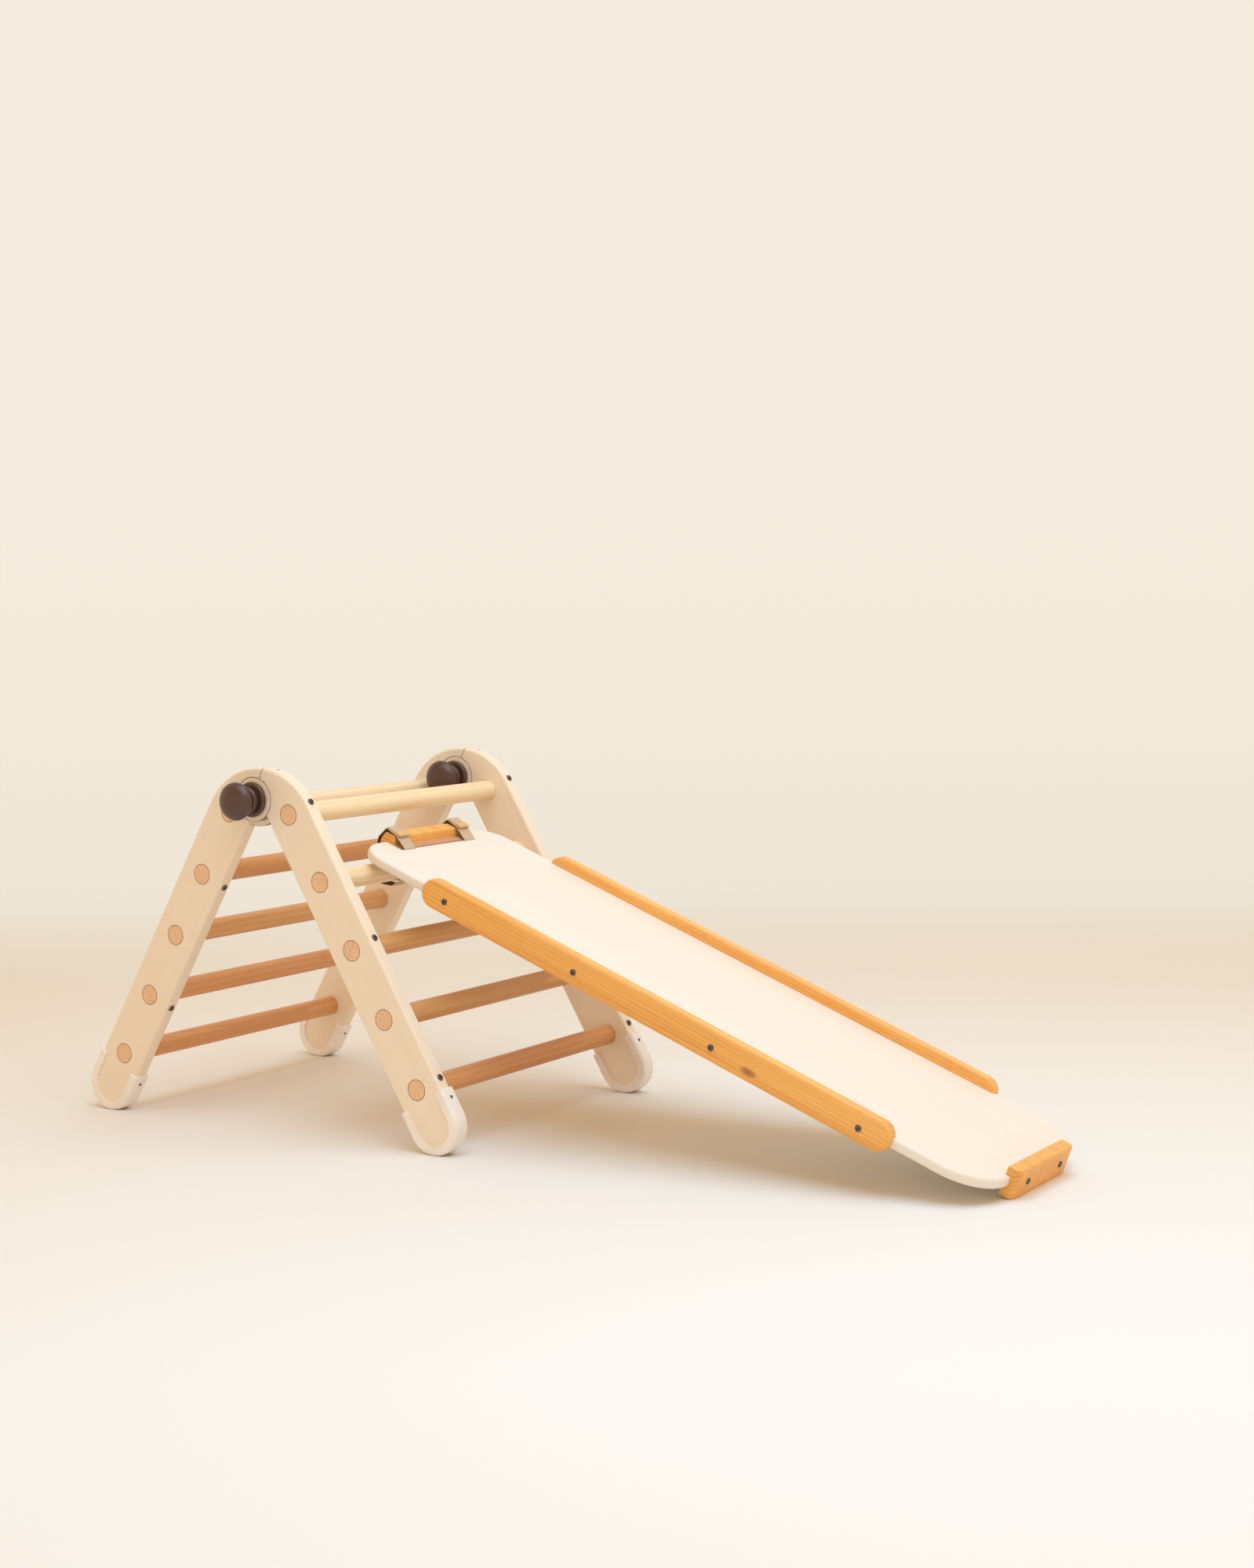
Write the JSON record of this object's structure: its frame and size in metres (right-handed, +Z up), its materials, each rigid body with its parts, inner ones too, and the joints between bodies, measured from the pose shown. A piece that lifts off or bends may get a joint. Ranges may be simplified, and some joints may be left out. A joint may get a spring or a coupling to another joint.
{
  "type": "toddler slide",
  "caption": "Folding wooden A-frame climber with a railed slide board hooked and strapped over one of its rungs.",
  "frame": {"origin": "on the floor, under the middle of the whole length and width", "axes": "+X along the slide from the climber to the foot of the slide, +Y along the rungs, +Z up"},
  "size_m": [1.5366, 0.6552, 0.56],
  "materials": {
    "painted_board": "satin cream paint on board",
    "rung_wood": "clear-lacquered natural hardwood",
    "oiled_wood": "honey-oiled hardwood, satin",
    "knob_brown": "dark brown, soft gloss",
    "insert_brass": "turned",
    "zinc_steel": "zinc plated",
    "dark_steel": "blackened, satin",
    "foot_plastic": "moulded, satin",
    "terracotta_felt": "pressed felt",
    "webbing": "woven webbing with hook-and-loop"
  },
  "bodies": {
    "left_ladder": {"left_stile_near": "painted_board", "left_foot_cap_near": "foot_plastic", "left_stile_far": "painted_board", "left_foot_cap_far": "foot_plastic", "left_rung_1": "rung_wood", "left_rung_2": "rung_wood", "left_rung_3": "rung_wood", "left_rung_4": "rung_wood", "left_rung_5": "rung_wood", "left_rung_screws": "dark_steel", "left_foot_screws": "dark_steel", "pivot_rod_near": "zinc_steel", "pivot_rod_far": "zinc_steel"},
    "right_ladder": {"right_stile_near": "painted_board", "right_foot_cap_near": "foot_plastic", "right_stile_far": "painted_board", "right_foot_cap_far": "foot_plastic", "right_rung_1": "rung_wood", "right_rung_2": "rung_wood", "right_rung_3": "rung_wood", "right_rung_4": "rung_wood", "right_rung_5": "rung_wood", "right_rung_screws": "dark_steel", "right_foot_screws": "dark_steel"},
    "slide_board": {"slide_deck": "painted_board", "side_rail_near": "oiled_wood", "side_rail_far": "oiled_wood", "rail_screws": "dark_steel", "end_stop": "oiled_wood", "end_stop_screws": "dark_steel", "hook_block": "oiled_wood", "hook_pad": "terracotta_felt", "hook_screws": "dark_steel", "strap_near": "webbing", "strap_far": "webbing", "strap_patch_near": "webbing", "strap_patch_far": "webbing"},
    "near_outer_knob": {"knob_near_outer": "knob_brown", "knob_insert_near_outer": "insert_brass"},
    "near_inner_knob": {"knob_near_inner": "knob_brown", "knob_insert_near_inner": "insert_brass"},
    "far_outer_knob": {"knob_far_outer": "knob_brown", "knob_insert_far_outer": "insert_brass"},
    "far_inner_knob": {"knob_far_inner": "knob_brown", "knob_insert_far_inner": "insert_brass"}
  },
  "joints": [
    {"name": "ladder_fold", "type": "hinge", "parent": "left_ladder", "child": "right_ladder", "pos_m": [-0.41077, 0, 0.51119], "axis": [0, 1, 0], "range_deg": [0, 59]},
    {"name": "slide_tilt", "type": "hinge", "parent": "right_ladder", "child": "slide_board", "pos_m": [-0.28426, 0, 0.3911], "axis": [0, -1, 0], "range_deg": [0, 45]},
    {"name": "near_outer_knob_turn", "type": "hinge", "parent": "left_ladder", "child": "near_outer_knob", "pos_m": [-0.41077, -0.27, 0.51119], "axis": [0, -1, 0], "continuous": true},
    {"name": "near_inner_knob_turn", "type": "hinge", "parent": "left_ladder", "child": "near_inner_knob", "pos_m": [-0.41077, -0.246, 0.51119], "axis": [0, 1, 0], "continuous": true},
    {"name": "far_outer_knob_turn", "type": "hinge", "parent": "left_ladder", "child": "far_outer_knob", "pos_m": [-0.41077, 0.27, 0.51119], "axis": [0, 1, 0], "continuous": true},
    {"name": "far_inner_knob_turn", "type": "hinge", "parent": "left_ladder", "child": "far_inner_knob", "pos_m": [-0.41077, 0.246, 0.51119], "axis": [0, -1, 0], "continuous": true}
  ]
}
